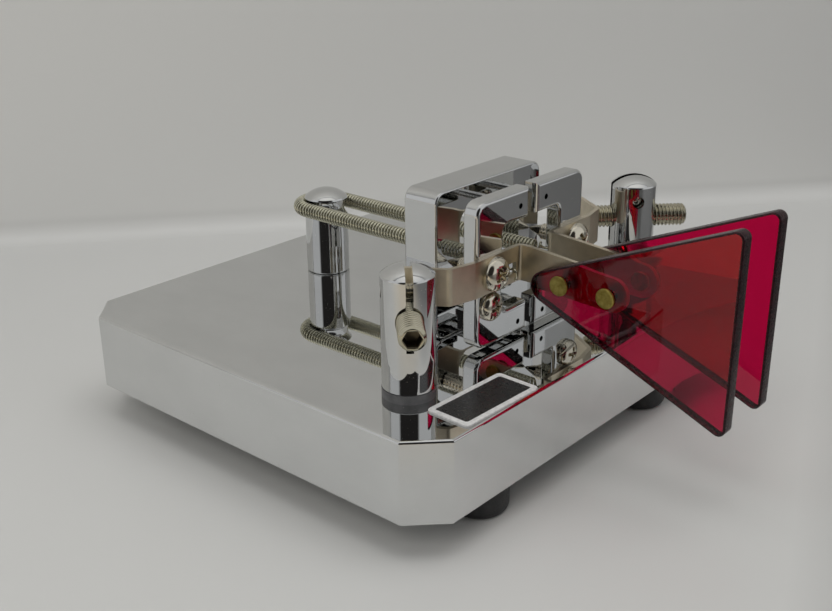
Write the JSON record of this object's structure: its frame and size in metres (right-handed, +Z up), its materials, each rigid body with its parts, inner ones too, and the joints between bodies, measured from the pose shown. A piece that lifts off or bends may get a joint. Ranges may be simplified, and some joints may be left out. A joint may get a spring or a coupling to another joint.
{
  "type": "morse key",
  "caption": "Iambic morse key: twin spring-loaded paddle levers with red finger pieces and adjustable contact posts on a heavy chrome base.",
  "frame": {"origin": "on the desk under the centre of the base, at the level of the feet's undersides", "axes": "+Z up, -Y towards the operator (paddles), +X to the operator's right"},
  "size_m": [0.1016, 0.1242, 0.0548],
  "materials": {
    "chrome": "mirror-bright chrome plating",
    "rubber": "moulded black rubber",
    "steel_screws": "zinc-plated steel",
    "label": "black plate with a silver border",
    "nickel": "bright nickel plating, slightly yellow",
    "nickel_strip": "satin nickel-plated brass strip",
    "silver": "polished silver contact",
    "insulator": "dark grey fibre and nylon",
    "lug": "tinned brass",
    "pin_steel": "hardened steel, polished",
    "paddle": "translucent red acrylic, polished edges",
    "brass": "aged brass"
  },
  "bodies": {
    "base": {"base_plate": "chrome", "rubber_feet": "rubber", "foot_screws": "steel_screws", "label_plate": "label", "left_contact_post": "chrome", "right_contact_post": "chrome", "post_insulators": "insulator", "post_bushings": "insulator", "solder_lugs": "lug", "post_screws": "steel_screws", "spring_post": "chrome", "spring_post_screw": "steel_screws", "main_frame": "chrome", "frame_screws": "steel_screws", "pivot_pins": "pin_steel", "long_spring": "nickel"},
    "left_key": {"left_lever": "chrome", "left_contact_strip": "nickel_strip", "left_contact_pad": "silver", "left_paddle": "paddle", "left_paddle_rivets": "brass", "left_strip_screw": "nickel"},
    "left_stop": {"left_stop_screw": "nickel"},
    "left_tip": {"left_contact_tip": "silver"},
    "left_adjuster": {"left_contact_screw": "nickel"},
    "left_clamp": {"left_clamp_screw": "nickel"},
    "right_key": {"right_lever": "chrome", "right_contact_strip": "nickel_strip", "right_contact_pad": "silver", "right_paddle": "paddle", "right_paddle_rivets": "brass", "right_strip_screw": "nickel"},
    "right_stop": {"right_stop_screw": "nickel"},
    "right_tip": {"right_contact_tip": "silver"},
    "right_adjuster": {"right_contact_screw": "nickel"},
    "right_clamp": {"right_clamp_screw": "nickel"}
  },
  "joints": [
    {"name": "left_paddle_press", "type": "hinge", "parent": "base", "child": "left_key", "pos_m": [-0.0041, -0.0284, 0.03793], "axis": [0, 0, 1], "range_deg": [0, 1.05], "stiffness_Nm_per_rad": 0.08, "springref_deg": -3.44},
    {"name": "left_stop_turn", "type": "hinge", "parent": "left_key", "child": "left_stop", "pos_m": [-0.0132, -0.0305, 0.03238], "axis": [0, -1, 0], "range_deg": [-360, 360]},
    {"name": "left_contact_feed", "type": "slide", "parent": "base", "child": "left_tip", "axis": [0.7071, 0.7071, 0], "range_m": [-0.00159, 0]},
    {"name": "left_contact_turn", "type": "hinge", "parent": "left_tip", "child": "left_adjuster", "pos_m": [-0.0363, -0.0308, 0.03818], "axis": [0.7071, 0.7071, 0], "range_deg": [-730, 10]},
    {"name": "left_clamp_turn", "type": "hinge", "parent": "base", "child": "left_clamp", "pos_m": [-0.0363, -0.0308, 0.04228], "axis": [0.7071, -0.7071, 0], "range_deg": [-720, 0]},
    {"name": "right_paddle_press", "type": "hinge", "parent": "base", "child": "right_key", "pos_m": [0.0041, -0.0284, 0.03793], "axis": [0, 0, 1], "range_deg": [-1.05, 0], "stiffness_Nm_per_rad": 0.08, "springref_deg": 3.44},
    {"name": "right_stop_turn", "type": "hinge", "parent": "right_key", "child": "right_stop", "pos_m": [0.0132, -0.0305, 0.03238], "axis": [0, -1, 0], "range_deg": [-360, 360]},
    {"name": "right_contact_feed", "type": "slide", "parent": "base", "child": "right_tip", "axis": [-0.7071, 0.7071, 0], "range_m": [-0.00159, 0]},
    {"name": "right_contact_turn", "type": "hinge", "parent": "right_tip", "child": "right_adjuster", "pos_m": [0.0363, -0.0308, 0.03818], "axis": [-0.7071, 0.7071, 0], "range_deg": [-730, 10]},
    {"name": "right_clamp_turn", "type": "hinge", "parent": "base", "child": "right_clamp", "pos_m": [0.0363, -0.0308, 0.04228], "axis": [-0.7071, -0.7071, 0], "range_deg": [-720, 0]}
  ],
  "couplings": [
    {"joint": "left_contact_turn", "follows": "left_contact_feed", "rad_per_m": 7915.8},
    {"joint": "right_contact_turn", "follows": "right_contact_feed", "rad_per_m": 7915.8}
  ]
}
